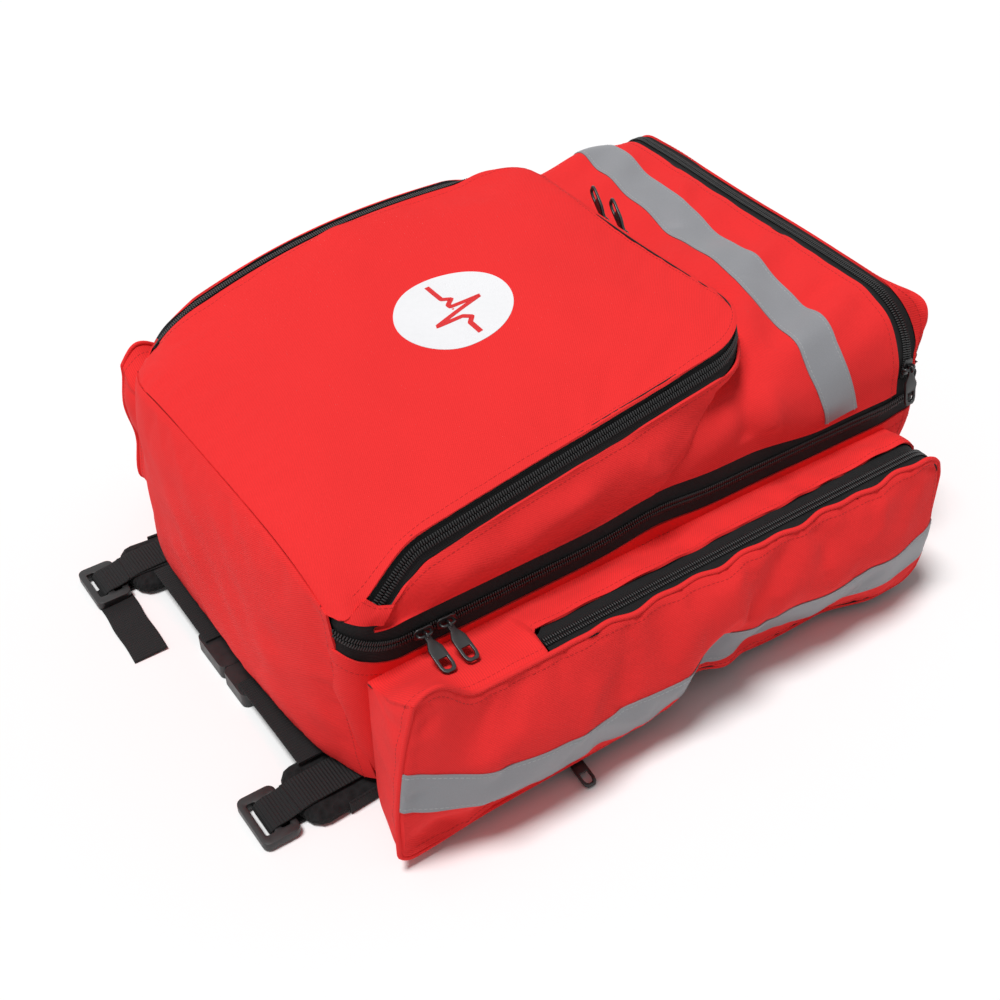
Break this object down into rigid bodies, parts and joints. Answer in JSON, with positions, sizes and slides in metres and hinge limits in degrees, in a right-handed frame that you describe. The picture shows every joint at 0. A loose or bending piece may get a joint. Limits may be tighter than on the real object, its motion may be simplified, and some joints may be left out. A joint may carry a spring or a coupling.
{
  "type": "trauma backpack",
  "caption": "Fabric trauma backpack on its back, with a zipped lid, domed front pocket, top pocket, box side pockets, reflective bands, shoulder straps and a waist strap.",
  "frame": {"origin": "middle of the bag's footprint on the ground it lies on", "axes": "+X to the bag's right side as it is worn, +Y from its base to its top, +Z from its back to its front"},
  "size_m": [0.4446, 0.558, 0.2435],
  "materials": {
    "red_fabric": "matt twill",
    "black_padding": "matt padded",
    "divider_fabric": "matt padded",
    "lining": "plain weave",
    "mesh": "mesh",
    "frame_board": "sheet",
    "zip_tape": "woven tape with a nylon coil",
    "reflective_band": "reflective grey",
    "white_print": "matt print",
    "black_metal": "satin black",
    "black_webbing": "ribbed webbing",
    "black_plastic": "moulded"
  },
  "bodies": {
    "bag_body": {"main_compartment": "red_fabric", "base_panel": "red_fabric", "back_panel": "black_padding", "frame_sheet": "frame_board", "base_board": "frame_board", "divider_lower": "divider_fabric", "divider_upper": "divider_fabric", "main_zip_body": "zip_tape", "side_pocket_right": "red_fabric", "side_pocket_left": "red_fabric", "side_band_end_right": "reflective_band", "side_band_end_left": "reflective_band", "side_zip_body_right": "zip_tape", "side_zip_body_left": "zip_tape", "strap_webbing_right": "black_webbing", "strap_webbing_left": "black_webbing", "waist_strap_right": "black_webbing", "waist_strap_left": "black_webbing", "buckle_female": "black_plastic"},
    "main_lid": {"front_pocket_gusset": "red_fabric", "top_pocket_shell": "red_fabric", "lid_lining": "lining", "lid_mesh_pocket": "mesh", "main_zip_lid": "zip_tape", "front_zip_lid": "zip_tape", "top_zip_lid": "zip_tape", "front_band": "reflective_band"},
    "front_flap": {"front_pocket_flap": "red_fabric", "front_zip_flap": "zip_tape", "front_badge": "white_print"},
    "top_flap": {"top_pocket_flap": "red_fabric", "top_zip_flap": "zip_tape"},
    "side_flap_right": {"side_flap_right": "red_fabric", "side_zip_flap_right": "zip_tape", "side_band_right": "reflective_band"},
    "side_flap_left": {"side_flap_left": "red_fabric", "side_zip_flap_left": "zip_tape", "side_band_left": "reflective_band"},
    "main_slider_lower": {"main_slider_lower": "black_metal"},
    "main_slider_upper": {"main_slider_upper": "black_metal"},
    "front_slider_right": {"front_slider_right": "black_metal"},
    "front_slider_left": {"front_slider_left": "black_metal"},
    "top_slider": {"top_slider": "black_metal"},
    "side_slider_right": {"side_slider_right": "black_metal"},
    "side_slider_left": {"side_slider_left": "black_metal"},
    "main_pull_lower": {"main_pull_lower": "black_metal"},
    "main_pull_upper": {"main_pull_upper": "black_metal"},
    "front_pull_right": {"front_pull_right": "black_metal"},
    "front_pull_left": {"front_pull_left": "black_metal"},
    "top_pull": {"top_pull": "black_metal"},
    "side_pull_right": {"side_pull_right": "black_metal"},
    "side_pull_left": {"side_pull_left": "black_metal"},
    "haul_handle": {"haul_handle": "black_webbing"},
    "strap_right": {"shoulder_strap_right": "black_padding", "ladder_lock_right": "black_plastic"},
    "strap_left": {"shoulder_strap_left": "black_padding", "ladder_lock_left": "black_plastic", "strap_tail_left": "black_webbing"},
    "buckle_male": {"buckle_male": "black_plastic"}
  },
  "joints": [
    {"name": "main_lid_open", "type": "hinge", "parent": "bag_body", "child": "main_lid", "pos_m": [0, -0.217, 0.17], "axis": [1, 0, 0], "range_deg": [0, 100]},
    {"name": "front_flap_open", "type": "hinge", "parent": "main_lid", "child": "front_flap", "pos_m": [0, -0.213, 0.172], "axis": [1, 0, 0], "range_deg": [0, 90]},
    {"name": "top_flap_open", "type": "hinge", "parent": "main_lid", "child": "top_flap", "pos_m": [0, 0.242, 0.148], "axis": [-1, 0, 0], "range_deg": [0, 90]},
    {"name": "side_flap_open_right", "type": "hinge", "parent": "bag_body", "child": "side_flap_right", "pos_m": [0.2212, -0.108, 0.066], "axis": [0, 0, -1], "range_deg": [0, 95]},
    {"name": "side_flap_open_left", "type": "hinge", "parent": "bag_body", "child": "side_flap_left", "pos_m": [-0.2212, -0.108, 0.066], "axis": [0, 0, 1], "range_deg": [0, 95]},
    {"name": "main_slider_lower_travel", "type": "slide", "parent": "bag_body", "child": "main_slider_lower", "axis": [0, -1, 0], "range_m": [0, 0.026]},
    {"name": "main_slider_upper_travel", "type": "slide", "parent": "bag_body", "child": "main_slider_upper", "axis": [0, 1, 0], "range_m": [0, 0.35]},
    {"name": "front_slider_right_travel", "type": "slide", "parent": "main_lid", "child": "front_slider_right", "axis": [1, 0, 0], "range_m": [0, 0.095]},
    {"name": "front_slider_left_travel", "type": "slide", "parent": "main_lid", "child": "front_slider_left", "axis": [-1, 0, 0], "range_m": [0, 0.06]},
    {"name": "top_slider_travel", "type": "hinge", "parent": "main_lid", "child": "top_slider", "pos_m": [0.109, 0.232, 0.158], "axis": [0, -1, 0], "range_deg": [0, 90]},
    {"name": "side_slider_right_travel", "type": "slide", "parent": "bag_body", "child": "side_slider_right", "axis": [0, 1, 0], "range_m": [0, 0.28]},
    {"name": "side_slider_left_travel", "type": "slide", "parent": "bag_body", "child": "side_slider_left", "axis": [0, 1, 0], "range_m": [0, 0.28]},
    {"name": "main_pull_lower_swing", "type": "hinge", "parent": "main_slider_lower", "child": "main_pull_lower", "pos_m": [0.1581, -0.163, 0.13], "axis": [0, -1, 0], "range_deg": [0, 105]},
    {"name": "main_pull_upper_swing", "type": "hinge", "parent": "main_slider_upper", "child": "main_pull_upper", "pos_m": [0.1581, -0.147, 0.13], "axis": [0, -1, 0], "range_deg": [0, 105]},
    {"name": "front_pull_right_swing", "type": "hinge", "parent": "front_slider_right", "child": "front_pull_right", "pos_m": [-0.008, 0.11037, 0.22657], "axis": [-0.5, 0.1441, -0.854], "range_deg": [0, 140]},
    {"name": "front_pull_left_swing", "type": "hinge", "parent": "front_slider_left", "child": "front_pull_left", "pos_m": [-0.03, 0.11037, 0.22657], "axis": [-0.5, 0.1441, -0.854], "range_deg": [0, 140]},
    {"name": "top_pull_swing", "type": "hinge", "parent": "top_slider", "child": "top_pull", "pos_m": [0.1581, 0.232, 0.158], "axis": [0, -1, 0], "range_deg": [0, 150]},
    {"name": "side_pull_right_swing", "type": "hinge", "parent": "side_slider_right", "child": "side_pull_right", "pos_m": [0.195, -0.085, 0.0089], "axis": [0, 1, 0], "range_deg": [0, 70]},
    {"name": "side_pull_left_swing", "type": "hinge", "parent": "side_slider_left", "child": "side_pull_left", "pos_m": [-0.195, -0.085, 0.0089], "axis": [0, -1, 0], "range_deg": [0, 70]},
    {"name": "haul_handle_lift", "type": "hinge", "parent": "bag_body", "child": "haul_handle", "pos_m": [0, 0.2393, 0.03], "axis": [1, 0, 0], "range_deg": [0, 90]},
    {"name": "shoulder_strap_swing_right", "type": "hinge", "parent": "bag_body", "child": "strap_right", "pos_m": [0.058, 0.192, 0.006], "axis": [0, 0, 1], "range_deg": [-3, 5], "deforming": ["strap_webbing_right"]},
    {"name": "shoulder_strap_swing_left", "type": "hinge", "parent": "bag_body", "child": "strap_left", "pos_m": [-0.058, 0.192, 0.006], "axis": [0, 0, -1], "range_deg": [-3, 5], "deforming": ["strap_webbing_left"]},
    {"name": "waist_buckle_release", "type": "slide", "parent": "bag_body", "child": "buckle_male", "axis": [1, 0, 0], "range_m": [0, 0.02]}
  ]
}
